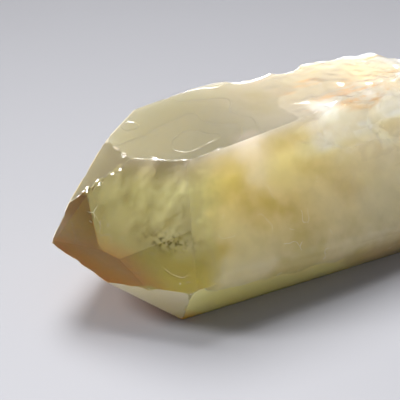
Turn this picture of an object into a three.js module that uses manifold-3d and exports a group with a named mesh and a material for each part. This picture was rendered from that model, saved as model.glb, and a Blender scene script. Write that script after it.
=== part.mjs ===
// Citrine crystal point, one solid, lying on a prism face.
// Millimetres, +Z up. The tip points to -X and the broken base to +X.
// The origin is under the middle of the crystal's box, on the surface it lies on.
import * as THREE from 'three';
import { ConvexGeometry } from 'three/addons/geometries/ConvexGeometry.js';
import { mergeVertices } from 'three/addons/utils/BufferGeometryUtils.js';
import Module from 'manifold-3d';

const wasm = await Module();
wasm.setup();

// Places are measured from the tip: X along the crystal, Y from its axis, Z from the surface.
// The heart is a point inside, from which the distance out to each flat face is taken.
const heart = new THREE.Vector3(48, 0, 18);

// around: degrees round the long axis, 0 at the back (+Y), 90 on top, 180 at the front.
// lean: degrees that the outward normal leans towards the tip. out: mm from the heart.
const prismFaces = {
  top: { around: 88.2, lean: 3.9, out: 19.3 },
  front: { around: 152.2, lean: -2.4, out: 20.5 },
  frontFoot: { around: 208, lean: 0.7, out: 27.7 },
  rest: { around: 270, lean: 0, out: heart.z },
  backFoot: { around: 333.4, lean: 6.9, out: 18.3 },
  backTip: { around: 30.1, lean: 7.6, out: 25.2 },
  backBase: { around: 30.1, lean: -3.3, out: 25.4 },
};
const tipFaces = {
  tipTop: { around: 90.3, lean: 37.6, out: 31.85 },
  tipFront: { around: 144.7, lean: 37.4, out: 29.8 },
  tipFrontFoot: { around: 210.2, lean: 38.6, out: 37.1 },
  tipUnder: { around: 272.1, lean: 34.7, out: 28.25 },
  tipBackFoot: { around: 332.8, lean: 36.1, out: 28.9 },
  tipBack: { around: 23.2, lean: 38.5, out: 28.2 },
};
// Wear has taken the long top front edge near the base. The root is past the break.
const baseFaces = {
  wornEdge: { around: 119.9, lean: -2.8, out: 24 },
  root: { around: 0, lean: -90, out: 80 },
};
// The break itself is two slopes that meet, with shell-like bowls broken out of them.
const breakSlopes = {
  breakBack: { around: 44, lean: -67.5, out: 59.8 },
  breakFront: { around: 208, lean: -61.5, out: 66 },
};

// Near the base the faces turn rough: mm from the tip where that starts and where it is full.
const roughStart = 62;
const roughFull = 104;
const fineEdge = 3.2;      // longest triangle edge where it is roughest
const coarseEdge = 8;      // where it starts
const smoothEdge = 75;     // and on the smooth part
const lumpSpan = 8;        // width of a lump on the rough faces
const lumpDepth = 1.0;     // how far the dips between lumps go in
const dentSpan = 7;        // and the sharper dents among them
const dentDepth = 1.4;
const clearHeight = 4;     // the wear fades out over this height above the resting face
const bowlSpan = 12;       // width of a bowl in the break
const bowlDepth = 5;
const breakStep = 2.2;     // distance between the points of the break's surface
const breakWidth = 70;
const breakHeight = 52;

// Chips with a shell-like hollow. faces: the face, or the two faces of an edge, that they are in.
// at: mm, from the tip. size: length along the crystal, width across it, and depth.
const chips = [
  { faces: ['front'], at: [62.5, -13.4, 35], size: [11, 5, 0.9] },
  { faces: ['front', 'wornEdge'], at: [73.5, -14, 33.2], size: [17, 11.5, 1.9] },
  { faces: ['front', 'wornEdge'], at: [86.5, -14.2, 31.8], size: [16, 15, 2.6] },
  { faces: ['front', 'wornEdge'], at: [80, -12.2, 36.2], size: [9, 5, 1] },
  { faces: ['top', 'backBase'], at: [62, 15.6, 37.7], size: [13, 7, 2.3] },
  { faces: ['top', 'backBase'], at: [72.3, 15.1, 38.4], size: [9, 7, 2.8] },
  { faces: ['backBase'], at: [52, 20.5, 33], size: [16, 7, 1.1] },
  { faces: ['backBase', 'backFoot'], at: [84, 25.8, 19.2], size: [18, 8, 1.8] },
  { faces: ['breakBack', 'front'], at: [104, -9, 33], size: [17, 12, 2.6] },
];
// Nicks on the sharp edges of the tip. edge: its two faces, and a third that ends it.
// from: mm along the edge from that end. size: mm across.
const nicks = [
  { edge: ['tipTop', 'tipFront', 'top'], from: 3.2, size: 3.6 },
  { edge: ['tipTop', 'tipFront', 'top'], from: 5.4, size: 2.2 },
  { edge: ['tipTop', 'tipFront', 'top'], from: 8.9, size: 3 },
  { edge: ['tipTop', 'tipFront', 'top'], from: 12.6, size: 2.6 },
  { edge: ['tipFront', 'top', 'tipTop'], from: 1.4, size: 2.6 },
  { edge: ['tipFront', 'top', 'tipTop'], from: 6.2, size: 2 },
  { edge: ['tipFront', 'top', 'tipTop'], from: 12, size: 2.4 },
  { edge: ['top', 'tipTop', 'tipFront'], from: 7, size: 2.2 },
  { edge: ['tipFront', 'tipUnder', 'tipFrontFoot'], from: 5, size: 2.2 },
  { edge: ['tipFront', 'tipUnder', 'tipFrontFoot'], from: 9.4, size: 2.8 },
  { edge: ['tipFrontFoot', 'tipFront', 'tipUnder'], from: 9, size: 2 },
  { edge: ['tipFront', 'tipBack', 'tipTop'], from: 4.5, size: 2.2 },
];

const chipLump = 0.22;       // how lumpy a chip's hollow is, as a share of its size
const nickProud = 0.36;      // how far a nick's middle is off its edge, as a share of its size

const deg = Math.PI / 180;
const crystalFaces = { ...prismFaces, ...tipFaces, ...baseFaces };

function facePlane({ around, lean, out }) {
  const normal = new THREE.Vector3(
    -Math.sin(lean * deg),
    Math.cos(lean * deg) * Math.cos(around * deg),
    Math.cos(lean * deg) * Math.sin(around * deg),
  );
  return new THREE.Plane(normal, -(out + normal.dot(heart)));
}

const planes = {};
for (const [name, face] of Object.entries({ ...crystalFaces, ...breakSlopes })) {
  planes[name] = facePlane(face);
}

// The point where three planes meet, or null where two of them are parallel.
function meetingPoint(a, b, c) {
  const bc = new THREE.Vector3().crossVectors(b.normal, c.normal);
  const ca = new THREE.Vector3().crossVectors(c.normal, a.normal);
  const ab = new THREE.Vector3().crossVectors(a.normal, b.normal);
  const share = a.normal.dot(bc);
  if (Math.abs(share) < 1e-6) return null;
  return bc.multiplyScalar(-a.constant)
    .addScaledVector(ca, -b.constant)
    .addScaledVector(ab, -c.constant)
    .divideScalar(share);
}

// The crystal's flat-faced form: every corner that no other face cuts away.
function flatFacedForm() {
  const list = Object.keys(crystalFaces).map((name) => planes[name]);
  const corners = [];
  for (let i = 0; i < list.length; i++) {
    for (let j = i + 1; j < list.length; j++) {
      for (let k = j + 1; k < list.length; k++) {
        const corner = meetingPoint(list[i], list[j], list[k]);
        if (corner && list.every((plane) => plane.distanceToPoint(corner) < 1e-4)) {
          corners.push(corner);
        }
      }
    }
  }
  return new ConvexGeometry(corners);
}

// Positions only, with the corners of neighbouring triangles shared.
function shared(geometry) {
  const plain = geometry.clone();
  plain.deleteAttribute('normal');
  plain.deleteAttribute('uv');
  return mergeVertices(plain, 1e-4);
}

// Halves every edge that is too long for its place, in both triangles that share it.
function refined(geometry, longestAt) {
  let points = [];
  const source = geometry.attributes.position;
  for (let i = 0; i < source.count; i++) {
    points.push(new THREE.Vector3().fromBufferAttribute(source, i));
  }
  let triangles = [];
  for (let i = 0; i < geometry.index.count; i += 3) {
    triangles.push([0, 1, 2].map((corner) => geometry.index.getX(i + corner)));
  }
  for (let split = true; split;) {
    split = false;
    const middles = new Map();
    const middleOf = (a, b) => {
      const key = a < b ? `${a},${b}` : `${b},${a}`;
      if (!middles.has(key)) {
        const middle = points[a].clone().add(points[b]).multiplyScalar(0.5);
        const tooLong = points[a].distanceTo(points[b]) > longestAt(points[a], points[b]);
        middles.set(key, tooLong ? points.push(middle) - 1 : -1);
      }
      return middles.get(key);
    };
    const next = [];
    for (const [a, b, c] of triangles) {
      const ab = middleOf(a, b);
      const bc = middleOf(b, c);
      const ca = middleOf(c, a);
      const cuts = [ab, bc, ca].filter((middle) => middle >= 0).length;
      split = split || cuts > 0;
      if (cuts === 3) {
        next.push([a, ab, ca], [ab, b, bc], [ca, bc, c], [ab, bc, ca]);
      } else if (cuts === 0) {
        next.push([a, b, c]);
      } else {
        next.push(...partlySplit([a, b, c], [ab, bc, ca], points));
      }
    }
    triangles = next;
  }
  const result = new THREE.BufferGeometry().setFromPoints(points);
  result.setIndex(triangles.flat());
  return result;
}

// A triangle with one or two of its edges halved.
function partlySplit(corners, middles, points) {
  const turn = (list, by) => [...list.slice(by), ...list.slice(0, by)];
  const whole = middles.filter((middle) => middle < 0).length;
  const first = whole === 2
    ? middles.findIndex((middle) => middle >= 0)
    : (middles.findIndex((middle) => middle < 0) + 1) % 3;
  const [a, b, c] = turn(corners, first);
  const [ab, bc] = turn(middles, first);
  if (whole === 2) return [[a, ab, c], [ab, b, c]];
  const acrossA = points[a].distanceTo(points[bc]);
  const acrossC = points[c].distanceTo(points[ab]);
  const rest = acrossA < acrossC ? [[a, ab, bc], [a, bc, c]] : [[a, ab, c], [ab, bc, c]];
  return [[ab, b, bc], ...rest];
}

// Smooth noise from 0 to 1, from a fixed value at each whole-number point of space.
function latticeValue(i, j, k) {
  const wave = Math.sin(i * 127.1 + j * 311.7 + k * 74.7) * 43758.5453;
  return wave - Math.floor(wave);
}

function noise(point, span) {
  const at = point.clone().divideScalar(span);
  const cell = at.clone().floor();
  const ease = (t) => t * t * (3 - 2 * t);
  const [u, v, w] = [ease(at.x - cell.x), ease(at.y - cell.y), ease(at.z - cell.z)];
  let sum = 0;
  for (const [i, j, k] of [[0, 0, 0], [1, 0, 0], [0, 1, 0], [1, 1, 0],
    [0, 0, 1], [1, 0, 1], [0, 1, 1], [1, 1, 1]]) {
    const weight = (i ? u : 1 - u) * (j ? v : 1 - v) * (k ? w : 1 - w);
    sum += weight * latticeValue(cell.x + i, cell.y + j, cell.z + k);
  }
  return sum;
}

// Bowls that meet in sharp ridges, 1 in the middle of a bowl and 0 on the ridges round it.
function bowls(point, span) {
  const at = point.clone().divideScalar(span);
  const cell = at.clone().floor();
  const middle = new THREE.Vector3();
  let nearest = 1;
  for (let i = -1; i <= 1; i++) {
    for (let j = -1; j <= 1; j++) {
      for (let k = -1; k <= 1; k++) {
        const [x, y, z] = [cell.x + i, cell.y + j, cell.z + k];
        middle.set(
          x + latticeValue(x, y, z),
          y + latticeValue(y, z, x),
          z + latticeValue(z, x, y),
        );
        nearest = Math.min(nearest, middle.distanceToSquared(at));
      }
    }
  }
  return 1 - nearest;
}

// Wears lumps and dents into the faces near the base. The resting face stays flat.
function roughened(geometry) {
  geometry.computeVertexNormals();
  const position = geometry.attributes.position;
  const normals = geometry.attributes.normal;
  const point = new THREE.Vector3();
  const normal = new THREE.Vector3();
  for (let i = 0; i < position.count; i++) {
    point.fromBufferAttribute(position, i);
    normal.fromBufferAttribute(normals, i);
    const aboveRest = -planes.rest.distanceToPoint(point);
    const clear = THREE.MathUtils.smoothstep(aboveRest, 0, clearHeight);
    const rough = THREE.MathUtils.smoothstep(point.x, roughStart, roughFull);
    const lumps = 0.6 * noise(point, lumpSpan) + 0.4 * noise(point, lumpSpan / 2);
    const worn = lumpDepth * rough * lumps + dentDepth * rough ** 2 * bowls(point, dentSpan);
    point.addScaledVector(normal, -worn * clear);
    position.setXYZ(i, point.x, point.y, point.z);
  }
  return geometry;
}

// How far along X a slope of the break is, over a point of its Y and Z.
function slopeAt(plane, y, z) {
  const { normal, constant } = plane;
  return -(constant + normal.y * y + normal.z * z) / normal.x;
}

// All that lies past the break: a block whose near side is the broken surface.
function pastTheBreak() {
  const depth = 40;
  const block = new THREE.BoxGeometry(
    depth,
    breakHeight,
    breakWidth,
    1,
    Math.round(breakHeight / breakStep),
    Math.round(breakWidth / breakStep),
  );
  block.rotateX(Math.PI / 2);
  const position = block.attributes.position;
  const point = new THREE.Vector3();
  for (let i = 0; i < position.count; i++) {
    point.fromBufferAttribute(position, i);
    point.z += breakHeight / 2 - 3;
    const back = slopeAt(planes.breakBack, point.y, point.z);
    const front = slopeAt(planes.breakFront, point.y, point.z);
    const slope = Math.min(back, front);
    const near = point.x < 0;
    point.x = near ? slope : slope + depth;
    if (near) {
      const ripples = noise(point, bowlSpan / 3) + noise(point, bowlSpan / 6) - 1;
      point.x -= bowlDepth * bowls(point, bowlSpan) - ripples;
    }
    position.setXYZ(i, point.x, point.y, point.z);
  }
  return toSolid(block);
}

function toSolid(geometry) {
  const merged = shared(geometry);
  return new wasm.Manifold(new wasm.Mesh({
    numProp: 3,
    vertProperties: new Float32Array(merged.attributes.position.array),
    triVerts: new Uint32Array(merged.index.array),
  }));
}

// The corners of the triangles that hang together with the most others, without any crumbs.
function largestPiece(corners) {
  const leader = new Map();
  const find = (corner) => {
    while (leader.get(corner) !== corner) corner = leader.get(corner);
    return corner;
  };
  for (const corner of corners) leader.set(corner, corner);
  for (let i = 0; i < corners.length; i += 3) {
    const first = find(corners[i]);
    leader.set(find(corners[i + 1]), first);
    leader.set(find(corners[i + 2]), first);
  }
  const sizes = new Map();
  for (const corner of corners) sizes.set(find(corner), (sizes.get(find(corner)) ?? 0) + 1);
  const largest = [...sizes.keys()].reduce((a, b) => (sizes.get(a) > sizes.get(b) ? a : b));
  return Array.from(corners).filter((corner) => find(corner) === largest);
}

function toGeometry(solid) {
  const mesh = solid.getMesh();
  const geometry = new THREE.BufferGeometry();
  geometry.setAttribute('position', new THREE.BufferAttribute(mesh.vertProperties, 3));
  geometry.setIndex(largestPiece(mesh.triVerts));
  return shared(geometry);
}

// The middle direction out of one face, or out of the edge between two.
function outOf(names) {
  const out = new THREE.Vector3();
  for (const name of names) out.add(planes[name].normal);
  return out.normalize();
}

// What a chip takes away: the cap of a lumpy ball, pressed in to the chip's depth.
function chipTool({ faces, at, size }) {
  const [length, width, depth] = size;
  const out = outOf(faces);
  const across = new THREE.Vector3().crossVectors(out, new THREE.Vector3(1, 0, 0)).normalize();
  if (faces[0].startsWith('break')) across.set(0, 1, 0).projectOnPlane(out).normalize();
  const along = new THREE.Vector3().crossVectors(across, out);
  const proud = 1.6;                       // how far the ball's middle is outside, in depths
  const reach = Math.sqrt(1 - (proud / (proud + 1)) ** 2);
  const centre = new THREE.Vector3(...at).addScaledVector(out, depth * proud);
  const ball = new THREE.IcosahedronGeometry(1, 5);
  const scale = new THREE.Vector3(length / 2 / reach, width / 2 / reach, depth * (proud + 1));
  const position = ball.attributes.position;
  const point = new THREE.Vector3();
  for (let i = 0; i < position.count; i++) {
    point.fromBufferAttribute(position, i);
    const lump = noise(point.clone().add(centre), 0.55) - 0.5;
    point.multiplyScalar(1 + chipLump * lump).multiply(scale);
    position.setXYZ(i, point.x, point.y, point.z);
  }
  const placing = new THREE.Matrix4().makeBasis(along, across, out).setPosition(centre);
  return toSolid(ball.applyMatrix4(placing));
}

// What a nick takes away: a small ball, longer along the edge, with its middle just off it.
function nickTool({ edge, from, size }) {
  const [a, b, end] = edge.map((name) => planes[name]);
  const along = new THREE.Vector3().crossVectors(a.normal, b.normal).normalize();
  if (along.dot(end.normal) > 0) along.negate();
  const out = outOf(edge.slice(0, 2));
  const across = new THREE.Vector3().crossVectors(out, along);
  const centre = meetingPoint(a, b, end).addScaledVector(along, from);
  centre.addScaledVector(out, size * nickProud);
  const ball = new THREE.IcosahedronGeometry(size / 2, 2).scale(1.5, 1, 1);
  const placing = new THREE.Matrix4().makeBasis(along, across, out).setPosition(centre);
  return toSolid(ball.applyMatrix4(placing));
}

// The longest that a triangle's edge may be, finer towards the break.
function longestAt(a, b) {
  if (Math.max(a.x, b.x) < roughStart) return smoothEdge;
  const rough = THREE.MathUtils.smoothstep((a.x + b.x) / 2, roughStart, roughFull);
  return THREE.MathUtils.lerp(coarseEdge, fineEdge, rough);
}

let crystal = toSolid(roughened(refined(shared(flatFacedForm()), longestAt)));
crystal = crystal.subtract(pastTheBreak());
for (const chip of chips) crystal = crystal.subtract(chipTool(chip));
for (const nick of nicks) crystal = crystal.subtract(nickTool(nick));

const citrine = new THREE.MeshStandardMaterial({ color: 0xc9bd8c, roughness: 0.12, metalness: 0 });
const point = new THREE.Mesh(toGeometry(crystal), citrine);
point.name = 'citrine_point';

const box = new THREE.Box3().setFromObject(point);
const middle = box.getCenter(new THREE.Vector3());
point.position.set(-middle.x, -middle.y, -box.min.z);

const model = new THREE.Group();
model.add(point);

export default model;
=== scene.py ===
import math

import bpy
import numpy as np
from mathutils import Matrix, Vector, kdtree, noise


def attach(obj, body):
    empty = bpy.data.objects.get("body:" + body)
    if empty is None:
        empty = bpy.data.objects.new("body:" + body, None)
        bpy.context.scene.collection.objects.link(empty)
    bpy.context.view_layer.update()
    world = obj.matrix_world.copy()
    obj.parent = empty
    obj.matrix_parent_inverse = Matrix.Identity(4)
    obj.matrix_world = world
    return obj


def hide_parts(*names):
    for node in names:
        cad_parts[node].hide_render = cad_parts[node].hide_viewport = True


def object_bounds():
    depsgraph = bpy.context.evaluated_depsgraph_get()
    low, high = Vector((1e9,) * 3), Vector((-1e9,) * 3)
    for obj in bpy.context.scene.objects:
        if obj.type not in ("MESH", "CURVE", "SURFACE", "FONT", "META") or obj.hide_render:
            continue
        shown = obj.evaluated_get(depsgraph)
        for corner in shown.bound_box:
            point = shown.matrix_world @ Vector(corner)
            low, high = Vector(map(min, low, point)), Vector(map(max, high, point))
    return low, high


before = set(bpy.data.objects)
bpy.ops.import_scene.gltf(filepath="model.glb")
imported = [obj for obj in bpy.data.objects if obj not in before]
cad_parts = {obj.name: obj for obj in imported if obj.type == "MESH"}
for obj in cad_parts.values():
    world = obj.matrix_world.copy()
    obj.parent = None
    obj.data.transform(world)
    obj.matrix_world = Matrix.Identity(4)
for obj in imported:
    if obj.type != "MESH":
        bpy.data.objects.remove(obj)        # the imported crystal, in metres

cadLow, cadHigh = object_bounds()
mm = 0.001
tipX = cadLow.x          # the crystal's tip points to -X
print("frame loaded, crystal is", [round(v / mm, 1) for v in cadHigh - cadLow], "mm")

crystal = {
    "node": "citrine_point",
    "edgeGrain": 0.55 * mm,      # triangle edges beside the sharp edges
    "roughGrain": 1.1 * mm,      # and on the rough part near the base
    "faceGrain": 4.0 * mm,       # and on the flat faces
    "quickCoarser": 2.5,
    "weldDistance": 0.001 * mm,
    "edgeBand": 1.0 * mm,        # how far from a sharp edge the fine triangles go
    "edgeStep": 0.4 * mm,        # between the points that mark a sharp edge
    "sharpAngle": 20,            # degrees between faces that meet in a sharp edge
    "roughStart": 62 * mm,       # from the tip: where the faces turn rough
    "roughFull": 100 * mm,
    "wearDepth": 0.35 * mm,      # deepest small chip along a sharp edge
    "wearSpan": 2.4 * mm,        # length of such a chip
    "wearContrast": 1.4,         # how much the chips differ in depth
    "wearBias": -0.15,           # below 0 leaves more of the edge sharp
    "leastWear": 0.08,           # share of the deepest that is worn off everywhere
    "wearWidth": 2.6,            # width of a chip, as so many times its depth
    "wearUntil": 0.9,            # roughness from which the breakage takes over
    "fineWear": 0.5,             # strength of the finer chips between them
    "fineWearScale": 3.1,        # and how many times finer they are
    "roundedDepth": 0.7 * mm,    # how far the rounded front edge is worn back
    "roundedBand": 3.4 * mm,
    "roundedStart": 24 * mm,     # from the tip
    "roundedFull": 34 * mm,
    "restSlack": 0.01 * mm,      # points lower than this lie on the resting face
    "restGap": 0.02 * mm,        # and the broken points stay above this
    "restMargin": 4 * mm,        # how high over the resting face the full breakage starts
    "evening": 6,                # rounds of evening out the way in which pieces break off
    "unfolding": 25,             # and of taking out the folds they leave
    "foldLean": 0.3,             # a triangle that looks outward less than this is folded
    "softening": 8,              # rounds of smoothing on the rough part
    "scarSoftening": 5,          # and where pieces broke off the front upper edge
    "scarStart": (58 * mm, 66 * mm),         # from the tip
    "scarEnd": (112 * mm, 104 * mm),
    "scarBand": (12 * mm, 8 * mm),           # how far down both faces they reach
    "facetSpan": 8 * mm,         # broken facets on the rough part
    "facetDepth": 1.2 * mm,
    "facetRidge": 0.75,          # height of the ridges between them, as a share of that
    "facetHollow": 0.7,          # how strongly they are hollowed
    "facetTilt": 0.9,            # and tilted
    "facetScatter": 5.3,         # spreads the tilts, so that neighbours differ
    "deepestFacet": 1.2,         # as a share of the same depth
    "scarFacets": 0.8,           # how strongly they mark the scars, which are facets already
    "bowlSpan": 2.6 * mm,        # small shell-like bowls on the rough part
    "bowlDepth": 0.4 * mm,
    "bowlSteepness": 1.3,        # higher makes narrower bowls
    "grainSpan": 0.9 * mm,       # the finest roughness of the rough part
    "grainDepth": 0.07 * mm,
}
# Which way the crystal's flat faces look
faces = {
    "top": (-0.0687, 0.0312, 0.9971),
    "front": (0.0421, -0.8839, 0.4658),
    "lowFront": (-0.0129, -0.8830, -0.4691),
    "resting": (0, 0, -1),
    "lowBack": (-0.1203, 0.8880, -0.4439),
    "tipTop": (-0.6097, -0.0044, 0.7926),
    "tipFront": (-0.6074, -0.6484, 0.4591),      # the broad one, towards the camera
    "tipLowFront": (-0.6244, -0.6750, -0.3930),
    "tipResting": (-0.5698, 0.0307, -0.8212),
    "tipLowBack": (-0.5889, 0.7191, -0.3690),
    "tipBack": (-0.6223, 0.7193, 0.3087),
}


def srgb(code):
    # an sRGB hex colour as Blender's linear one
    parts = [int(code[i:i + 2], 16) / 255 for i in (1, 3, 5)]
    return [v / 12.92 if v <= 0.04045 else ((v + 0.055) / 1.055) ** 2.4 for v in parts] + [1]


def addNode(tree, kind, inputs=None, **settings):
    # a node with its settings, and its inputs as numbers, colours or links from other sockets
    node = tree.nodes.new(kind)
    for name, value in settings.items():
        setattr(node, name, value)
    for name, value in (inputs or {}).items():
        if isinstance(value, bpy.types.NodeSocket):
            tree.links.new(value, node.inputs[name])
        else:
            node.inputs[name].default_value = value
    return node


def smoothStep(value, low, high):
    t = np.clip((value - low) / (high - low), 0, 1)
    return t * t * (3 - 2 * t)


# Crystal mesh

def weldedTriangles(nodeName):
    # the node's points and triangles, with split corners joined again
    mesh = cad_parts[nodeName].data
    mesh.calc_loop_triangles()
    points = np.array([v.co for v in mesh.vertices])
    triangles = np.array([t.vertices for t in mesh.loop_triangles])
    keys, first, which = np.unique(
        np.round(points / crystal["weldDistance"]).astype(np.int64), axis=0,
        return_index=True, return_inverse=True)
    triangles = which.reshape(-1)[triangles]
    flat = (triangles == np.roll(triangles, 1, axis=1)).any(axis=1)
    return points[first], triangles[~flat]


def atLengthOne(vectors):
    return vectors / np.maximum(np.linalg.norm(vectors, axis=1, keepdims=True), 1e-20)


def triangleNormals(points, triangles):
    # one normal for each triangle, as long as twice its area
    a, b, c = points[triangles[:, 0]], points[triangles[:, 1]], points[triangles[:, 2]]
    return np.cross(b - a, c - a)


def edgesOf(triangles):
    # every edge once, and which edge each triangle's three sides are
    pairs = np.stack([triangles, np.roll(triangles, -1, axis=1)], axis=2).reshape(-1, 2)
    edges, which = np.unique(np.sort(pairs, axis=1), axis=0, return_inverse=True)
    return edges, which.reshape(-1, 3)


def sharpEdgeTree(points, triangles):
    # points along the crystal's sharp edges, and the way out from each
    edges, which = edgesOf(triangles)
    normals = atLengthOne(triangleNormals(points, triangles))
    total = np.zeros((len(edges), 3))
    for side in range(3):
        np.add.at(total, which[:, side], normals)
    # two normals of length 1 add up to twice the cosine of half the angle between them
    cosine = (np.linalg.norm(total, axis=1) / 2) ** 2 * 2 - 1
    ends = points[edges]
    sharp = cosine < math.cos(math.radians(crystal["sharpAngle"]))
    sharp &= ends[:, :, 0].min(axis=1) - tipX < crystal["roughFull"]
    places, outs = [], []
    for (start, end), out in zip(ends[sharp], total[sharp]):
        steps = max(1, int(np.linalg.norm(end - start) / crystal["edgeStep"]))
        for step in range(steps + 1):
            places.append(start + (end - start) * step / steps)
            outs.append(out / np.linalg.norm(out))
    tree = kdtree.KDTree(len(places))
    for index, place in enumerate(places):
        tree.insert(place, index)
    tree.balance()
    return tree, outs


def roughness(points):
    # 0 on the smooth part of the crystal and 1 at its base
    return smoothStep(points[:, 0] - tipX, crystal["roughStart"], crystal["roughFull"])


def clearOfRest(points):
    # 0 at the resting face, so that its outline stays, and 1 well above it
    return smoothStep(points[:, 2], 0, crystal["restMargin"])


def splitLongEdges(points, triangles, edgeTree):
    # halves the longest edge of every triangle that is too coarse for its place
    while True:
        edges, which = edgesOf(triangles)
        ends = points[edges]
        lengths = np.linalg.norm(ends[:, 0] - ends[:, 1], axis=1)
        middles = ends.mean(axis=1)
        rough = roughness(middles) ** 0.5
        limit = crystal["faceGrain"] + (crystal["roughGrain"] - crystal["faceGrain"]) * rough
        maybe = np.flatnonzero(lengths > crystal["edgeGrain"])
        for index in maybe[lengths[maybe] <= limit[maybe]]:
            distance = edgeTree.find(middles[index])[2]
            if distance < crystal["edgeBand"] + lengths[index] / 2:
                limit[index] = crystal["edgeGrain"]
        sides = np.where(lengths[which] > limit[which], lengths[which], 0)
        longest = sides.argmax(axis=1)
        rows = np.flatnonzero(sides.max(axis=1) > 0)
        if len(rows) == 0:
            return points, triangles
        cut = np.zeros(len(edges), bool)
        cut[which[rows, longest[rows]]] = True
        fresh = np.full(len(edges), -1)
        fresh[cut] = len(points) + np.arange(cut.sum())
        points = np.vstack([points, middles[cut]])
        triangles = splitTriangles(triangles, fresh[which])


def splitTriangles(triangles, fresh):
    # fresh: the new point on each side (ab, bc, ca), or -1 where a side stays whole
    count = (fresh >= 0).sum(axis=1)
    parts = [triangles[count == 0]]
    for turn in range(3):
        a, b, c = (np.roll(triangles, -turn, axis=1)[:, k] for k in range(3))
        ab, bc, ca = (np.roll(fresh, -turn, axis=1)[:, k] for k in range(3))
        one = (count == 1) & (ab >= 0)
        two = (count == 2) & (ca < 0)
        parts.append(np.stack([a, ab, c], axis=1)[one])
        parts.append(np.stack([ab, b, c], axis=1)[one])
        parts.append(np.stack([ab, b, bc], axis=1)[two])
        parts.append(np.stack([a, ab, bc], axis=1)[two])
        parts.append(np.stack([a, bc, c], axis=1)[two])
        if turn == 0:
            three = count == 3
            for corners in ((a, ab, ca), (ab, b, bc), (ca, bc, c), (ab, bc, ca)):
                parts.append(np.stack(corners, axis=1)[three])
    return np.vstack(parts)


def below(points, direction):
    # how far each point is below the outermost point in a direction
    heights = points @ np.array(direction)
    return heights.max() - heights


def scars(points):
    # 1 where pieces broke off the upper front edge, near the base
    x = points[:, 0] - tipX
    along = smoothStep(x, *crystal["scarStart"]) * smoothStep(x, *crystal["scarEnd"])
    near = smoothStep(below(points, faces["top"]), *crystal["scarBand"])
    return along * near * smoothStep(below(points, faces["front"]), *crystal["scarBand"])


def neighbourMean(values, edges):
    # the average of each point's neighbours
    total = np.zeros_like(values)
    count = np.zeros((len(values), 1))
    for here, there in ((0, 1), (1, 0)):
        np.add.at(total, edges[:, here], values[edges[:, there]])
        np.add.at(count, edges[:, here], 1)
    return total / count


def soften(points, triangles, weights, rounds):
    # smooths the facets where the weights are high, and keeps the resting face flat
    edges = edgesOf(triangles)[0]
    resting = points[:, 2] < crystal["restSlack"]
    for _ in range(rounds):
        moved = points + (neighbourMean(points, edges) - points) * 0.5 * weights[:, None]
        moved[resting, 2] = points[resting, 2]
        points = moved
    return points


def outwardWays(points, triangles):
    # the way out at each point, evened over its neighbours so that no chip folds over
    total = np.zeros_like(points)
    normals = triangleNormals(points, triangles)
    for corner in range(3):
        np.add.at(total, triangles[:, corner], normals)
    edges = edgesOf(triangles)[0]
    for _ in range(crystal["evening"]):
        total = atLengthOne(total)
        total = total + neighbourMean(total, edges)
    return atLengthOne(total)


def unfold(points, triangles, outward):
    # evens out the places where the breaks have folded the surface over
    edges = edgesOf(triangles)[0]
    resting = points[:, 2] < crystal["restSlack"]
    for _ in range(crystal["unfolding"]):
        normals = triangleNormals(points, triangles)
        lean = (normals * outward[triangles].mean(axis=1)).sum(axis=1)
        folded = lean < crystal["foldLean"] * np.linalg.norm(normals, axis=1)
        caught = np.zeros((len(points), 1))
        caught[triangles[folded]] = 1
        caught = (caught > 0) | (neighbourMean(caught, edges) > 0)
        moved = np.where(caught, neighbourMean(points, edges), points)
        moved[resting, 2] = points[resting, 2]
        points = moved
    return points


def facetDepth(spot):
    # shallow tilted bowls that meet in ridges, from 0 to about 1
    heights = []
    for distance, centre in zip(*noise.voronoi(spot)):
        tilt = noise.cell_vector(centre * crystal["facetScatter"]) - Vector((0.5, 0.5, 0.5))
        hollow = distance * distance * crystal["facetHollow"]
        heights.append(hollow + tilt.dot(spot - centre) * crystal["facetTilt"])
    return min(max(crystal["facetRidge"] - min(heights), 0), crystal["deepestFacet"])


def wearAndRoughen(points, triangles, edgeTree, edgeOuts):
    # chips along the sharp edges, and broken facets, bowls and grain towards the base
    outward = outwardWays(points, triangles)
    rough = roughness(points) * clearOfRest(points)
    scarred = scars(points) * crystal["scarFacets"]
    rounded = np.maximum(below(points, faces["front"]), below(points, faces["lowFront"]))
    rounded = np.clip(1 - rounded / crystal["roundedBand"], 0, 1) ** 2
    rounded *= smoothStep(points[:, 0] - tipX, crystal["roundedStart"], crystal["roundedFull"])
    inwardWay = -np.array(faces["front"]) - faces["lowFront"]
    rounded = np.outer(rounded * crystal["roundedDepth"], inwardWay)
    moved = points.copy()
    wear = np.zeros(len(points))
    for index, place in enumerate(points):
        if place[2] < crystal["restSlack"]:
            continue
        spot = Vector(place)
        inward = rounded[index]
        if rough[index] < crystal["wearUntil"] and not inward.any():
            near, which, distance = edgeTree.find(spot)
            if distance < crystal["edgeBand"]:
                near = near / crystal["wearSpan"]
                chip = noise.noise(near) * crystal["wearContrast"] + crystal["wearBias"]
                chip += noise.noise(near * crystal["fineWearScale"]) * crystal["fineWear"]
                depth = crystal["wearDepth"] * min(max(chip, crystal["leastWear"]), 1)
                close = max(0, 1 - distance / (depth * crystal["wearWidth"]))
                inward = inward - edgeOuts[which] * depth * close
                wear[index] = depth * close / crystal["wearDepth"]
        broken = max(rough[index], scarred[index])
        if broken > 0:
            depth = crystal["facetDepth"] * facetDepth(spot / crystal["facetSpan"])
            cells = noise.voronoi(spot / crystal["bowlSpan"])[0][0]
            depth += crystal["bowlDepth"] * max(0, 1 - cells * crystal["bowlSteepness"])
            depth += crystal["grainDepth"] * max(0, noise.noise(spot / crystal["grainSpan"]) + 1)
            inward = inward - outward[index] * depth * broken
        moved[index] = place + inward
        moved[index, 2] = max(moved[index, 2], crystal["restGap"])
    moved = unfold(moved, triangles, outward)
    return np.clip(moved, cadLow, cadHigh), wear


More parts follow.
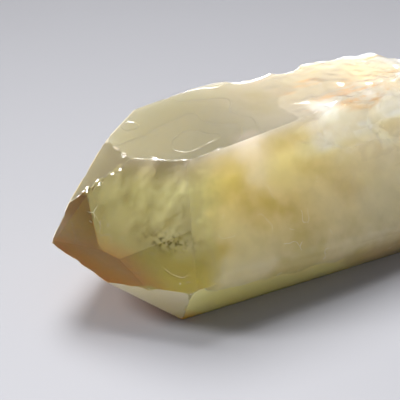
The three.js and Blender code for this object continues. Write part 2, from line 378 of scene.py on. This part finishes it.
def makeCrystal():
    points, triangles = weldedTriangles(crystal["node"])
    edgeTree, edgeOuts = sharpEdgeTree(points, triangles)
    points, triangles = splitLongEdges(points, triangles, edgeTree)
    weights = roughness(points) ** 0.5 * clearOfRest(points)
    points = soften(points, triangles, weights, crystal["softening"])
    points = soften(points, triangles, scars(points), crystal["scarSoftening"])
    points, wear = wearAndRoughen(points, triangles, edgeTree, edgeOuts)
    mesh = bpy.data.meshes.new("citrine_crystal")
    mesh.from_pydata(points.tolist(), [], triangles.tolist())
    mesh.shade_smooth()
    mesh.set_sharp_from_angle(angle=math.radians(crystal["sharpAngle"]))
    sharp = mesh.attributes["sharp_edge"].data
    for edge in mesh.edges:
        if mesh.vertices[edge.vertices[0]].co.x - tipX > crystal["roughStart"]:
            sharp[edge.index].value = False
    mesh.attributes.new("wear", "FLOAT", "POINT").data.foreach_set("value", wear)
    piece = bpy.data.objects.new("citrine_crystal", mesh)
    bpy.context.scene.collection.objects.link(piece)
    print("crystal mesh:", len(triangles), "triangles")
    return piece


# Citrine: quartz coloured by iron, grown in water and never cut or polished. Clear and glossy
# at the tip, where the back faces show through it, and clouded with milky veils to the base.
# Spans and sizes are in mm unless a line says otherwise: "reach" is from the tip, strayed by
# the clouds, and "height" is over the resting face.
citrine = {
    "ior": 1.544,                # quartz
    "depthColour": "#caa23c",    # what is left of white light after deep citrine
    "depthDensity": 5,           # per metre
    "gloss": 0.04,               # roughness of the natural faces
    "brokenGloss": 0.12,         # and of the broken part
    "glossReach": (60, 85),      # where the one turns into the other
    "cloudSpan": 15,             # size of the soft clouds
    "mottleSpan": 5,             # and of the finer mottling
    "strayReach": 20,            # how far the clouds push a stain's outline about
    "driftReach": 16,            # and the limits along the crystal

    # haze: the share of the stone that is milky instead of clear
    "haze": 0.03,                # at the tip
    "farHaze": 0.42,             # on its broad face, where that meets the body
    "hazeAlong": (10, 27),       # from the tip, between those two
    "lowHaze": 0.1,              # low in the tip
    "lowHazeHeight": (16, 24),
    "bodyHaze": 0.96,            # in the milky body
    "bodyHazeSwing": 0.06,       # less of it where the mottling is thin
    "wispStretch": (0.1, 0.22, 0.12),        # per mm, the wisps in the tip
    "wispSwing": (0.4, 1.8),     # they thin and thicken the haze this many times
    "milkStart": 0.3,            # below the tip's broad face
    "milkFull": 7,
    "patchyMilk": (0.4, 1.2),    # how fast it thickens: at least, and what the clouds add
    "hazeGrain": 2.5,            # how far the fine grains of the haze differ

    # tints of the stone
    "tipTint": "#e9e2ae",
    "beige": "#f4e2b0",
    "olive": "#e0d08c",
    "oliveSwing": 0.1,           # how much the mottling breaks up the olive
    "lowShadeTint": "#d8b878",        # painted shade, darker and browner low on the base
    "lowShadeTintHeight": (14, 2),
    "lowShadeTintReach": (55, 100),
    "rootTint": "#fff0d8",       # high on the base
    "rootHeight": (10, 30),
    "rootReach": (50, 85),
    "backShadeTint": "#a2967a",       # painted shade, duller and darker, over the back faces seen from outside
    "backShadeStrength": 0.85,
    "backShadeTurn": (0.15, 0.4),     # how far a face has to look back for it

    # the broken upper front edge and base
    "scarTint": "#fffaf4",
    "scarReach": (56, 66),
    "scarBand": (10, 7),         # how far below both faces
    # painted shade on the broken facets and in their hollows
    "facetShadeTint": "#d8cab0",
    "shardSpan": (10, 6, 6),     # size of the broken facets
    "shardShade": 0.3,           # how much painted shade darkens some of them and the hollows between the torn ridges, also painted shade
    "hollowShade": 0.35,         # and the hollows between the torn ridges
    "hackleSpan": 5,             # the torn relief
    "hackleDepth": 1.3 * mm,

    # iron stains on the crest
    "rust": "#d2a678",
    "rustStretch": (0.08, 0.3, 0.3),         # per mm
    "rustHeight": (33, 38),
    "stainCore": 0.2,            # share of a stain's size that has its full tint

    # dark grains, partly painted shade, bright specks that are painted glints, and healed cracks
    "grainAndShadeTint": "#3c3008",
    "grainSpan": 1.1,
    "grainsMiddle": (-36.5, -17.5, 20.5),    # they gather in the tip
    "grainsSize": (9, 9, 3.2),
    "grainsStrength": 0.9,
    # painted glints on specks, ridges and chips, and pale healed cracks
    "glintAndCrackTint": "#fffaf0",
    "speckSpan": 4.5,            # between the specks
    "speckSize": 0.03,           # as a share of that
    "speckEmpty": 0.72,          # share of the places that stay without one
    "threadSpan": 14,            # between the healed cracks
    "threadSize": 0.005,         # as a share of that
    "threadStrength": 0.6,
    "threadHeight": (31, 27),    # none above, all below
    "wornAway": (0.8, 0.95),     # wear from which the chips on the edges are frosted, and carry painted glints

    # light that travels through the milk
    "glow": 0.95,                # share of it that does
    "brokenGlow": 0.9,           # and in the broken part
    "glowDepth": 50 * mm,        # how far
    "brokenGlowDepth": 60 * mm,
    "glowTint": (1.0, 0.94, 0.72),           # red goes furthest

    # growth steps on the top face
    "stepSpan": 26,              # size of the swells that the terraces follow
    "stepCount": 8,              # terraces from the lowest to the highest
    "stepWidth": 0.06,           # of a rise, as a share of its terrace
    "stepHeight": 0.12 * mm,
    "stepBand": (0.4, 0.2),      # below the top face
    "stepReach": (68, 56),

    # growth zones: how far below its face each one's haze sets in, and where its tint is full
    "zoneSkin": (0.14, 0.07),
    "zoneTop": 0.05,
}
# The growth zone under each face has its own tint and haze: the face, the tint, how deep in mm
# the tint reaches, the haze, the roughness, and from where to where the zone fades towards the
# base, in mm from the tip. A later row lies over an earlier one.
growthZones = [
    ("top", "#b6a890", 6, 0.85, 0.1, 100, 130),
    ("top", "#b4a992", 1.5, 0.8, 0.1, 70, 92),
    ("top", "#bbb396", 0.1, 0.38, 0.06, 36, 66),
    ("tipTop", "#b2a88c", 0.1, 0.28, 0.06, 40, 64),
    ("lowFront", "#ffeaa0", 0.1, 0.9, 0.15, 60, 100),
    ("resting", "#fff860", 0.12, 0.97, 0.3, 45, 75),
    ("lowBack", "#f2ea8c", 0.12, 0.5, 0.55, 45, 75),
    ("tipLowBack", "#ffd048", 0.12, 0.85, 0.55, 45, 75),
    ("tipBack", "#eeb034", 0.12, 0.9, 0.55, 45, 75),
    ("tipBack", "#804008", 0.12, 0.9, 0.55, 1, 6),
    ("tipResting", "#ffb028", 4, 0.95, 0.5, 45, 75),
    ("tipLowFront", "#e6dab6", 0.1, 0.7, 0.1, 40, 64),
]
# Clouds and stains inside the stone, and one patch of painted shade: the middle in mm, the size, the
# tint and how strong it is
stains = [
    ((-12.3, -15.5, 30.8), 10, "#f6e4d0", 0.7),     # rosy beige
    ((-11.2, -19.7, 23.0), 6, "#d8c868", 0.6),      # yellow-green
    ((-23.2, -23.0, 17.6), 6, "#ccbc5c", 0.6),
    ((19.8, -21.5, 16.5), 10, "#efe3c0", 0.6),      # greyish milk
    ((-1.2, 3.0, 38.0), 8, "#a89c70", 0.35),        # olive, on the top face
    ((12.8, -9.5, 38.0), 7, "#f2ecdc", 0.8),        # white milk
    ((33.0, 2.0, 39.0), 10, "#f0cfa4", 0.5),        # iron
    ((12.5, -13.0, 32.5), 4, "#bca67c", 0.5),       # painted shade of a break under the upper edge
]


def outermost(direction):
    # how far out in a direction, in mm, the crystal reaches
    corners = np.array([v.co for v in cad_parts[crystal["node"]].data.vertices]) / mm
    return (corners @ np.array(direction)).max()


def stoneFields(tree):
    # where in the stone a point is, and the soft clouds that its limits and stains stray by
    coordinates = addNode(tree, "ShaderNodeTexCoord")
    place = addNode(tree, "ShaderNodeVectorMath", {
        0: coordinates.outputs["Object"],
        1: (1 / mm, 1 / mm, 1 / mm),
    }, operation="MULTIPLY").outputs[0]
    axes = addNode(tree, "ShaderNodeSeparateXYZ", {0: place}).outputs
    along = addNode(tree, "ShaderNodeMath", {0: axes["X"], 1: tipX / mm},
                    operation="SUBTRACT").outputs[0]
    clouds, mottle = [addNode(tree, "ShaderNodeTexNoise", {
        "Vector": place,
        "Scale": 1 / citrine[span],
        "Detail": 3,
        "Roughness": 0.5,
    }).outputs for span in ("cloudSpan", "mottleSpan")]
    stray = citrine["strayReach"]
    stray = addNode(tree, "ShaderNodeVectorMath", {
        0: clouds["Color"],
        1: (stray, stray, stray),
        2: (-stray / 2, -stray / 2, -stray / 2),
    }, operation="MULTIPLY_ADD").outputs[0]
    drift = addNode(tree, "ShaderNodeMath", {
        0: clouds["Fac"],
        1: citrine["driftReach"],
        2: -citrine["driftReach"] / 2,
    }, operation="MULTIPLY_ADD").outputs[0]
    return {
        "place": place,
        "strayed": addNode(tree, "ShaderNodeVectorMath", {0: place, 1: stray},
                           operation="ADD").outputs[0],
        "along": along,
        "reach": addNode(tree, "ShaderNodeMath", {0: along, 1: drift},
                         operation="ADD").outputs[0],
        "height": axes["Z"],
        "clouds": clouds["Fac"],
        "mottle": mottle["Fac"],
        "normal": coordinates.outputs["Normal"],
    }


def milkyVeils(tree, at):
    # how milky the stone is, which thickens away from the tip's broad face, and how deep in
    # the body it lies
    depth = addNode(tree, "ShaderNodeVectorMath", {0: at["place"], 1: faces["tipFront"]},
                    operation="DOT_PRODUCT").outputs["Value"]
    depth = addNode(tree, "ShaderNodeMath", {0: outermost(faces["tipFront"]), 1: depth},
                    operation="SUBTRACT").outputs[0]
    thinnest, spread = citrine["patchyMilk"]
    patchy = addNode(tree, "ShaderNodeMath", {0: at["clouds"], 1: spread, 2: thinnest},
                     operation="MULTIPLY_ADD").outputs[0]
    depth = addNode(tree, "ShaderNodeMath", {0: depth, 1: patchy},
                    operation="MULTIPLY").outputs[0]
    uneven = addNode(tree, "ShaderNodeMapRange", {
        "Value": at["mottle"],
        "From Min": 0.35,
        "From Max": 0.6,
        "To Min": citrine["bodyHaze"] - citrine["bodyHazeSwing"],
        "To Max": citrine["bodyHaze"],
    }).outputs[0]
    veil = addNode(tree, "ShaderNodeMapRange", {
        "Value": at["along"],
        "From Min": citrine["hazeAlong"][0],
        "From Max": citrine["hazeAlong"][1],
        "To Min": citrine["haze"],
        "To Max": citrine["farHaze"],
    }).outputs[0]
    stretched = addNode(tree, "ShaderNodeVectorMath", {
        0: at["place"],
        1: citrine["wispStretch"],
    }, operation="MULTIPLY").outputs[0]
    wisps = addNode(tree, "ShaderNodeTexNoise", {
        "Vector": stretched,
        "Scale": 1,
        "Detail": 4,
        "Roughness": 0.6,
    }).outputs["Fac"]
    wisps = addNode(tree, "ShaderNodeMapRange", {
        "Value": wisps,
        "From Min": 0.38,
        "From Max": 0.66,
        "To Min": citrine["wispSwing"][0],
        "To Max": citrine["wispSwing"][1],
    }).outputs[0]
    veil = addNode(tree, "ShaderNodeMath", {0: veil, 1: wisps}, operation="MULTIPLY").outputs[0]
    veil = addNode(tree, "ShaderNodeMapRange", {
        "Value": at["height"],
        "From Min": citrine["lowHazeHeight"][0],
        "From Max": citrine["lowHazeHeight"][1],
        "To Min": citrine["lowHaze"],
        "To Max": veil,
    }).outputs[0]
    milk = addNode(tree, "ShaderNodeMapRange", {
        "Value": depth,
        "From Min": citrine["milkStart"],
        "From Max": citrine["milkFull"],
        "To Min": veil,
        "To Max": uneven,
    }, interpolation_type="SMOOTHSTEP").outputs[0]
    body = addNode(tree, "ShaderNodeMapRange", {
        "Value": depth,
        "From Min": 0,
        "From Max": citrine["milkFull"],
    }, interpolation_type="SMOOTHSTEP").outputs[0]
    return milk, body


def olivePatches(tree, at):
    # where the beige body turns olive
    olive = addNode(tree, "ShaderNodeMapRange", {
        "Value": at["clouds"],
        "From Min": 0.62,
        "From Max": 0.38,
    }, interpolation_type="SMOOTHSTEP").outputs[0]
    mottled = addNode(tree, "ShaderNodeMapRange", {
        "Value": at["mottle"],
        "From Min": 0.35,
        "From Max": 0.65,
        "To Min": citrine["oliveSwing"],
        "To Max": -citrine["oliveSwing"],
    }).outputs[0]
    return addNode(tree, "ShaderNodeMath", {0: olive, 1: mottled}, operation="ADD",
                   use_clamp=True).outputs[0]


def breakage(tree, at):
    # where the root of the crystal is, where pieces broke off its upper front edge, where it is
    # broken at all, and the torn ridges there
    root = addNode(tree, "ShaderNodeMapRange", {
        "Value": at["reach"],
        "From Min": citrine["rootReach"][0],
        "From Max": citrine["rootReach"][1],
        "To Max": addNode(tree, "ShaderNodeMapRange", {
            "Value": at["height"],
            "From Min": citrine["rootHeight"][0],
            "From Max": citrine["rootHeight"][1],
        }, interpolation_type="SMOOTHSTEP").outputs[0],
    }, interpolation_type="SMOOTHSTEP").outputs[0]
    scarred = addNode(tree, "ShaderNodeMapRange", {
        "Value": at["reach"],
        "From Min": citrine["scarReach"][0],
        "From Max": citrine["scarReach"][1],
    }, interpolation_type="SMOOTHSTEP").outputs[0]
    for name in ("top", "front"):
        out = addNode(tree, "ShaderNodeVectorMath", {0: at["place"], 1: faces[name]},
                      operation="DOT_PRODUCT").outputs["Value"]
        scarred = addNode(tree, "ShaderNodeMapRange", {
            "Value": out,
            "From Min": outermost(faces[name]) - citrine["scarBand"][0],
            "From Max": outermost(faces[name]) - citrine["scarBand"][1],
            "To Max": scarred,
        }, interpolation_type="SMOOTHSTEP").outputs[0]
    return {
        "root": root,
        "scarred": scarred,
        "broken": addNode(tree, "ShaderNodeMath", {0: scarred, 1: root},
                          operation="MAXIMUM").outputs[0],
        "hackles": addNode(tree, "ShaderNodeTexNoise", {
            "Vector": at["place"],
            "Scale": 1 / citrine["hackleSpan"],
            "Detail": 4,
            "Roughness": 0.6,
        }, noise_type="RIDGED_MULTIFRACTAL", normalize=True).outputs["Fac"],
    }


def brokenTints(tree, at, breaks):
    # the base and the scars are paler, with painted shade low on the base; the broken facets have
    # painted shade that differs from facet to facet and deepens in the hollows, with painted
    # highlights on the torn ridges
    # painted shade: the base is darker and browner low down
    paintedLowShade = addNode(tree, "ShaderNodeMapRange", {
        "Value": at["height"],
        "From Min": citrine["lowShadeTintHeight"][0],
        "From Max": citrine["lowShadeTintHeight"][1],
        "To Max": addNode(tree, "ShaderNodeMapRange", {
            "Value": at["reach"],
            "From Min": citrine["lowShadeTintReach"][0],
            "From Max": citrine["lowShadeTintReach"][1],
        }, interpolation_type="SMOOTHSTEP").outputs[0],
    }, interpolation_type="SMOOTHSTEP").outputs[0]
    shardSpace = addNode(tree, "ShaderNodeVectorMath", {
        0: at["place"],
        1: tuple(1 / span for span in citrine["shardSpan"]),
    }, operation="MULTIPLY").outputs[0]
    shardSpace = addNode(tree, "ShaderNodeVectorMath", {
        0: shardSpace,
        1: addNode(tree, "ShaderNodeTexNoise", {
            "Vector": shardSpace,
            "Scale": 1.5,
            "Detail": 2,
        }).outputs["Color"],
    }, operation="ADD").outputs[0]
    shards = addNode(tree, "ShaderNodeTexVoronoi", {"Vector": shardSpace, "Scale": 1},
                     feature="F1").outputs["Color"]
    # painted shade: some broken facets, and the hollows between the torn ridges, are darker
    shade = addNode(tree, "ShaderNodeMapRange", {
        "Value": addNode(tree, "ShaderNodeSeparateColor", {0: shards}).outputs["Red"],
        "From Min": 0.35,
        "From Max": 0.9,
        "To Max": breaks["broken"],
    }).outputs[0]
    shade = addNode(tree, "ShaderNodeMath", {0: shade, 1: citrine["shardShade"]},
                    operation="MULTIPLY").outputs[0]
    hollows = addNode(tree, "ShaderNodeMapRange", {
        "Value": breaks["hackles"],
        "From Min": 0.3,
        "From Max": 0.12,
        "To Max": breaks["broken"],
    }).outputs[0]
    shade = addNode(tree, "ShaderNodeMath", {0: hollows, 1: citrine["hollowShade"], 2: shade},
                    operation="MULTIPLY_ADD", use_clamp=True).outputs[0]
    # painted highlights along the torn ridges
    ridgeHighlights = addNode(tree, "ShaderNodeMapRange", {
        "Value": breaks["hackles"],
        "From Min": 0.5,
        "From Max": 0.7,
        "To Max": breaks["broken"],
    }).outputs[0]
    return [
        (breaks["root"], citrine["rootTint"]),
        (paintedLowShade, citrine["lowShadeTint"]),
        (breaks["scarred"], citrine["scarTint"]),
        (shade, citrine["facetShadeTint"]),
        (ridgeHighlights, citrine["glintAndCrackTint"]),
    ]


def zonesUnderFaces(tree, at):
    # for each growth zone, where its tint lies, the tint, where its haze lies, and the haze and
    # roughness there
    zones = []
    for name, tint, depth, haze, roughness, fadeStart, fadeEnd in growthZones:
        out = addNode(tree, "ShaderNodeVectorMath", {0: at["place"], 1: faces[name]},
                      operation="DOT_PRODUCT").outputs["Value"]
        surface = outermost(faces[name])
        near = addNode(tree, "ShaderNodeMapRange", {
            "Value": at["along"],
            "From Min": fadeEnd,
            "From Max": fadeStart,
        }, interpolation_type="SMOOTHSTEP").outputs[0]
        tinted, hazy = [addNode(tree, "ShaderNodeMapRange", {
            "Value": out,
            "From Min": surface - start,
            "From Max": surface - end,
            "To Max": near,
        }).outputs[0] for start, end in ((depth, citrine["zoneTop"]), citrine["zoneSkin"])]
        zones.append((tinted, tint, hazy, haze, roughness))
    return zones


def stainTints(tree, at, breaks):
    # iron has stained the crest in streaks, clouds and stains hang inside the stone, and one patch is
    # painted shade
    stretched = addNode(tree, "ShaderNodeVectorMath", {
        0: at["place"],
        1: citrine["rustStretch"],
    }, operation="MULTIPLY").outputs[0]
    streaks = addNode(tree, "ShaderNodeTexNoise", {
        "Vector": stretched,
        "Scale": 1,
        "Detail": 5,
        "Roughness": 0.65,
    }).outputs["Fac"]
    rust = addNode(tree, "ShaderNodeMapRange", {
        "Value": streaks,
        "From Min": 0.5,
        "From Max": 0.72,
        "To Max": addNode(tree, "ShaderNodeMapRange", {
            "Value": at["height"],
            "From Min": citrine["rustHeight"][0],
            "From Max": citrine["rustHeight"][1],
            "To Max": breaks["root"],
        }).outputs[0],
    }, interpolation_type="SMOOTHSTEP").outputs[0]
    tints = [(rust, citrine["rust"])]
    for middle, size, tint, strength in stains:
        away = addNode(tree, "ShaderNodeVectorMath", {0: at["strayed"], 1: middle},
                       operation="DISTANCE").outputs["Value"]
        stained = addNode(tree, "ShaderNodeMapRange", {
            "Value": away,
            "From Min": size,
            "From Max": size * citrine["stainCore"],
            "To Max": strength,
        }, interpolation_type="SMOOTHSTEP").outputs[0]
        tints.append((stained, tint))
    return tints


def darkGrainsAndShade(tree, at):
    # dark grains gathered in the tip, partly painted shade: they darken the band over the place where
    # the resting face shows through
    gathered = addNode(tree, "ShaderNodeVectorMath", {
        0: at["place"],
        1: tuple(-v for v in citrine["grainsMiddle"]),
    }, operation="ADD").outputs[0]
    gathered = addNode(tree, "ShaderNodeVectorMath", {
        0: gathered,
        1: tuple(1 / v for v in citrine["grainsSize"]),
    }, operation="MULTIPLY").outputs[0]
    gathered = addNode(tree, "ShaderNodeVectorMath", {0: gathered}, operation="LENGTH")
    gathered = addNode(tree, "ShaderNodeMapRange", {
        "Value": gathered.outputs["Value"],
        "From Min": 1,
        "From Max": 0.2,
        "To Max": citrine["grainsStrength"],
    }).outputs[0]
    flecks = addNode(tree, "ShaderNodeTexNoise", {
        "Vector": at["place"],
        "Scale": 1 / citrine["grainSpan"],
        "Detail": 3,
        "Roughness": 0.7,
    }).outputs["Fac"]
    return addNode(tree, "ShaderNodeMapRange", {
        "Value": flecks,
        "From Min": 0.5,
        "From Max": 0.58,
        "To Max": gathered,
    }).outputs[0]


def paintedBackShade(tree, at):
    # seen from outside, the back faces are painted duller and darker, painted shade that tones down
    # the lamp light behind them, over the tint within
    facing = addNode(tree, "ShaderNodeSeparateXYZ", {0: at["normal"]}).outputs["Y"]
    outside = addNode(tree, "ShaderNodeMapRange", {
        "Value": addNode(tree, "ShaderNodeNewGeometry").outputs["Backfacing"],
        "To Min": citrine["backShadeStrength"],
        "To Max": 0,
    }).outputs[0]
    return addNode(tree, "ShaderNodeMapRange", {
        "Value": facing,
        "From Min": citrine["backShadeTurn"][0],
        "From Max": citrine["backShadeTurn"][1],
        "To Max": outside,
    }).outputs[0]


def brightMarks(tree, at, breaks):
    # painted glints as bright specks, healed cracks like fine threads, and the chips on the edges,
    # which are frosted and carry painted glints
    cells = addNode(tree, "ShaderNodeTexVoronoi", {
        "Vector": at["place"],
        "Scale": 1 / citrine["speckSpan"],
    }, feature="F1")
    chosen = addNode(tree, "ShaderNodeSeparateColor", {0: cells.outputs["Color"]}).outputs["Red"]
    chosen = addNode(tree, "ShaderNodeMath", {0: chosen, 1: citrine["speckEmpty"]},
                     operation="GREATER_THAN").outputs[0]
    # painted glints: tiny bright specks
    glintSpecks = addNode(tree, "ShaderNodeMapRange", {
        "Value": cells.outputs["Distance"],
        "From Min": citrine["speckSize"] * 1.6,
        "From Max": citrine["speckSize"] * 0.6,
        "To Max": chosen,
    }).outputs[0]
    webs = addNode(tree, "ShaderNodeTexVoronoi", {
        "Vector": at["strayed"],
        "Scale": 1 / citrine["threadSpan"],
    }, feature="DISTANCE_TO_EDGE").outputs["Distance"]
    inBody = addNode(tree, "ShaderNodeMapRange", {
        "Value": at["height"],
        "From Min": citrine["threadHeight"][0],
        "From Max": citrine["threadHeight"][1],
        "To Max": citrine["threadStrength"],
    }).outputs[0]
    inBody = addNode(tree, "ShaderNodeMapRange", {
        "Value": at["mottle"],
        "From Min": 0.54,
        "From Max": 0.62,
        "To Max": inBody,
    }).outputs[0]
    inBody = addNode(tree, "ShaderNodeMapRange", {
        "Value": breaks["broken"],
        "From Min": 0.6,
        "From Max": 0,
        "To Max": inBody,
    }).outputs[0]
    threads = addNode(tree, "ShaderNodeMapRange", {
        "Value": webs,
        "From Min": citrine["threadSize"] * 1.5,
        "From Max": citrine["threadSize"] * 0.5,
        "To Max": inBody,
    }).outputs[0]
    # the worn chips on the edges: partly frosted, partly painted glints
    frostedGlintChips = addNode(tree, "ShaderNodeMapRange", {
        "Value": addNode(tree, "ShaderNodeAttribute", attribute_name="wear").outputs["Fac"],
        "From Min": citrine["wornAway"][0],
        "From Max": citrine["wornAway"][1],
    }).outputs[0]
    bright = glintSpecks
    for marks in (threads, frostedGlintChips):
        bright = addNode(tree, "ShaderNodeMath", {0: bright, 1: marks},
                         operation="MAXIMUM").outputs[0]
    return bright


def grainOfHaze(tree, at, milk):
    # the haze is grains far finer than the eye can see, so each ray meets a little more or less
    grains = addNode(tree, "ShaderNodeTexWhiteNoise", {"Vector": at["place"]}).outputs["Value"]
    grains = addNode(tree, "ShaderNodeMath", {0: grains, 1: 0.5},
                     operation="SUBTRACT").outputs[0]
    clear = addNode(tree, "ShaderNodeMath", {0: 1.0, 1: milk}, operation="SUBTRACT").outputs[0]
    unsure = addNode(tree, "ShaderNodeMath", {0: milk, 1: clear},
                     operation="MULTIPLY").outputs[0]
    unsure = addNode(tree, "ShaderNodeMath", {0: unsure, 1: grains},
                     operation="MULTIPLY").outputs[0]
    return addNode(tree, "ShaderNodeMath", {0: unsure, 1: citrine["hazeGrain"], 2: clear},
                   operation="MULTIPLY_ADD", use_clamp=True).outputs[0]


def growthAndTears(tree, at, breaks):
    # thin growth steps on the top face, which are the edges of broad low terraces, and the torn
    # relief of the broken part
    out = addNode(tree, "ShaderNodeVectorMath", {0: at["place"], 1: faces["top"]},
                  operation="DOT_PRODUCT").outputs["Value"]
    topZone = addNode(tree, "ShaderNodeMapRange", {
        "Value": out,
        "From Min": outermost(faces["top"]) - citrine["stepBand"][0],
        "From Max": outermost(faces["top"]) - citrine["stepBand"][1],
        "To Max": addNode(tree, "ShaderNodeMapRange", {
            "Value": at["reach"],
            "From Min": citrine["stepReach"][0],
            "From Max": citrine["stepReach"][1],
        }).outputs[0],
    }).outputs[0]
    terraces = addNode(tree, "ShaderNodeTexNoise", {
        "Vector": at["place"],
        "Scale": 1 / citrine["stepSpan"],
        "Detail": 2,
        "Roughness": 0.4,
    }).outputs["Fac"]
    terraces = addNode(tree, "ShaderNodeMath", {0: terraces, 1: citrine["stepCount"]},
                       operation="MULTIPLY").outputs[0]
    rise = addNode(tree, "ShaderNodeMath", {0: terraces}, operation="FRACT").outputs[0]
    rise = addNode(tree, "ShaderNodeMapRange", {
        "Value": rise,
        "From Min": 0.0,
        "From Max": citrine["stepWidth"],
    }, interpolation_type="SMOOTHSTEP").outputs[0]
    steps = addNode(tree, "ShaderNodeBump", {
        "Height": rise,
        "Strength": topZone,
        "Distance": citrine["stepHeight"],
    }).outputs["Normal"]
    return addNode(tree, "ShaderNodeBump", {
        "Height": breaks["hackles"],
        "Distance": citrine["hackleDepth"],
        "Strength": breaks["broken"],
        "Normal": steps,
    }).outputs["Normal"]


def citrineMaterial():
    material = bpy.data.materials.new("citrineQuartz")
    material.use_nodes = True
    tree = material.node_tree
    tree.nodes.clear()
    at = stoneFields(tree)
    milk, body = milkyVeils(tree, at)
    breaks = breakage(tree, at)
    zones = zonesUnderFaces(tree, at)
    bright = brightMarks(tree, at, breaks)

    # the tints, each over the ones before it
    bodyColour = addNode(tree, "ShaderNodeMix", {
        "Factor": olivePatches(tree, at),
        "A": srgb(citrine["beige"]),
        "B": srgb(citrine["olive"]),
    }, data_type="RGBA").outputs["Result"]
    colour = addNode(tree, "ShaderNodeMix", {
        "Factor": body,
        "A": srgb(citrine["tipTint"]),
        "B": bodyColour,
    }, data_type="RGBA").outputs["Result"]
    tints = brokenTints(tree, at, breaks)
    tints += [(tinted, tint) for tinted, tint, hazy, haze, roughness in zones]
    tints += stainTints(tree, at, breaks)
    tints += [
        (darkGrainsAndShade(tree, at), citrine["grainAndShadeTint"]),
        (paintedBackShade(tree, at), citrine["backShadeTint"]),
        (bright, citrine["glintAndCrackTint"]),
    ]
    for mask, tint in tints:
        colour = addNode(tree, "ShaderNodeMix", {
            "Factor": mask,
            "A": colour,
            "B": srgb(tint),
        }, data_type="RGBA").outputs["Result"]

    # each growth zone has a haze and a gloss of its own
    gloss = addNode(tree, "ShaderNodeMapRange", {
        "Value": at["reach"],
        "From Min": citrine["glossReach"][0],
        "From Max": citrine["glossReach"][1],
        "To Min": citrine["gloss"],
        "To Max": citrine["brokenGloss"],
    }, interpolation_type="SMOOTHSTEP").outputs[0]
    for tinted, tint, hazy, haze, roughness in zones:
        milk = addNode(tree, "ShaderNodeMix", {
            "Factor": hazy,
            "A": milk,
            "B": haze,
        }, data_type="FLOAT").outputs["Result"]
        gloss = addNode(tree, "ShaderNodeMix", {
            "Factor": hazy,
            "A": gloss,
            "B": roughness,
        }, data_type="FLOAT").outputs["Result"]
    milk = addNode(tree, "ShaderNodeMath", {0: milk, 1: bright}, operation="MAXIMUM").outputs[0]
    glow, glowDepth = [addNode(tree, "ShaderNodeMapRange", {
        "Value": breaks["broken"],
        "To Min": citrine[natural],
        "To Max": citrine[broken],
    }).outputs[0] for natural, broken in (("glow", "brokenGlow"), ("glowDepth", "brokenGlowDepth"))]

    shader = addNode(tree, "ShaderNodeBsdfPrincipled", {
        "Base Color": colour,
        "Roughness": gloss,
        "IOR": citrine["ior"],
        "Transmission Weight": grainOfHaze(tree, at, milk),
        "Subsurface Weight": glow,
        "Subsurface Radius": citrine["glowTint"],
        "Subsurface Scale": glowDepth,
        "Normal": growthAndTears(tree, at, breaks),
    })
    absorption = addNode(tree, "ShaderNodeVolumeAbsorption", {
        "Color": srgb(citrine["depthColour"]),
        "Density": citrine["depthDensity"],
    })
    addNode(tree, "ShaderNodeOutputMaterial", {
        "Surface": shader.outputs[0],
        "Volume": absorption.outputs[0],
    })
    return material


piece = makeCrystal()
piece.data.materials.append(citrineMaterial())
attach(piece, "root")
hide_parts(crystal["node"])
print("citrine finished")


# Studio
studio = {
    "floorSize": 6,              # metres
    "floorDrop": 0.05 * mm,      # keeps the floor clear of the resting face
    "floorColour": "#919196",
    "floorRoughness": 0.6,
    "skyColour": "#f2f3f6",
    "skyStrength": 0.33,
}
lamps = [
    # name, place in metres, width, watts
    ("soft_back", (0.12, 0.54, 1.0), 0.72, 3.5),
    ("soft_left", (-1.04, 0.6, 1.0), 0.48, 3.3),
]
lampTarget = (-0.02, -0.33, 0)   # a little in front of the crystal, so the floor behind falls off
lampSpread = 60                  # degrees
camera = {
    "aim": (-28.3 * mm, -17.6 * mm, 28.5 * mm),    # the middle of the photograph, on the front face
    "azimuth": -28.5,            # degrees round from looking along +Y
    "elevation": 30.1,           # degrees above the horizon
    "distance": 244.8 * mm,
    "lens": 100,
    "nearest": 0.01,             # metres, what the camera still sees
}


def plainMaterial(name, colour, roughness):
    material = bpy.data.materials.new(name)
    material.use_nodes = True
    shader = material.node_tree.nodes["Principled BSDF"]
    shader.inputs["Base Color"].default_value = srgb(colour)
    shader.inputs["Roughness"].default_value = roughness
    return material


def makeStudio():
    half = studio["floorSize"] / 2
    mesh = bpy.data.meshes.new("floor")
    mesh.from_pydata([(-half, -half, 0), (half, -half, 0), (half, half, 0), (-half, half, 0)],
                     [], [(0, 1, 2, 3)])
    floor = bpy.data.objects.new("floor", mesh)
    floor.location.z = -studio["floorDrop"]
    mesh.materials.append(plainMaterial("paleCard", studio["floorColour"], studio["floorRoughness"]))
    bpy.context.scene.collection.objects.link(floor)
    world = bpy.data.worlds.new("softRoom")
    bpy.context.scene.world = world
    world.use_nodes = True
    sky = world.node_tree.nodes["Background"]
    sky.inputs["Color"].default_value = srgb(studio["skyColour"])
    sky.inputs["Strength"].default_value = studio["skyStrength"]
    for name, place, width, watts in lamps:
        light = bpy.data.lights.new(name, "AREA")
        light.shape = "DISK"
        light.size = width
        light.energy = watts
        light.spread = math.radians(lampSpread)
        lamp = bpy.data.objects.new(name, light)
        lamp.location = place
        lamp.rotation_euler = (Vector(lampTarget) - Vector(place)).to_track_quat("-Z", "Y").to_euler()
        bpy.context.scene.collection.objects.link(lamp)


def makeCamera():
    azimuth, elevation = math.radians(camera["azimuth"]), math.radians(camera["elevation"])
    back = Vector((
        math.sin(azimuth) * math.cos(elevation),
        -math.cos(azimuth) * math.cos(elevation),
        math.sin(elevation),
    ))
    data = bpy.data.cameras.new("camera")
    data.lens = camera["lens"]
    data.clip_start = camera["nearest"]
    eye = bpy.data.objects.new("camera", data)
    eye.location = Vector(camera["aim"]) + back * camera["distance"]
    eye.rotation_euler = (-back).to_track_quat("-Z", "Y").to_euler()
    bpy.context.scene.collection.objects.link(eye)
    bpy.context.scene.camera = eye


makeStudio()
makeCamera()
bpy.context.scene.view_settings.view_transform = "Standard"
print("studio and camera ready")
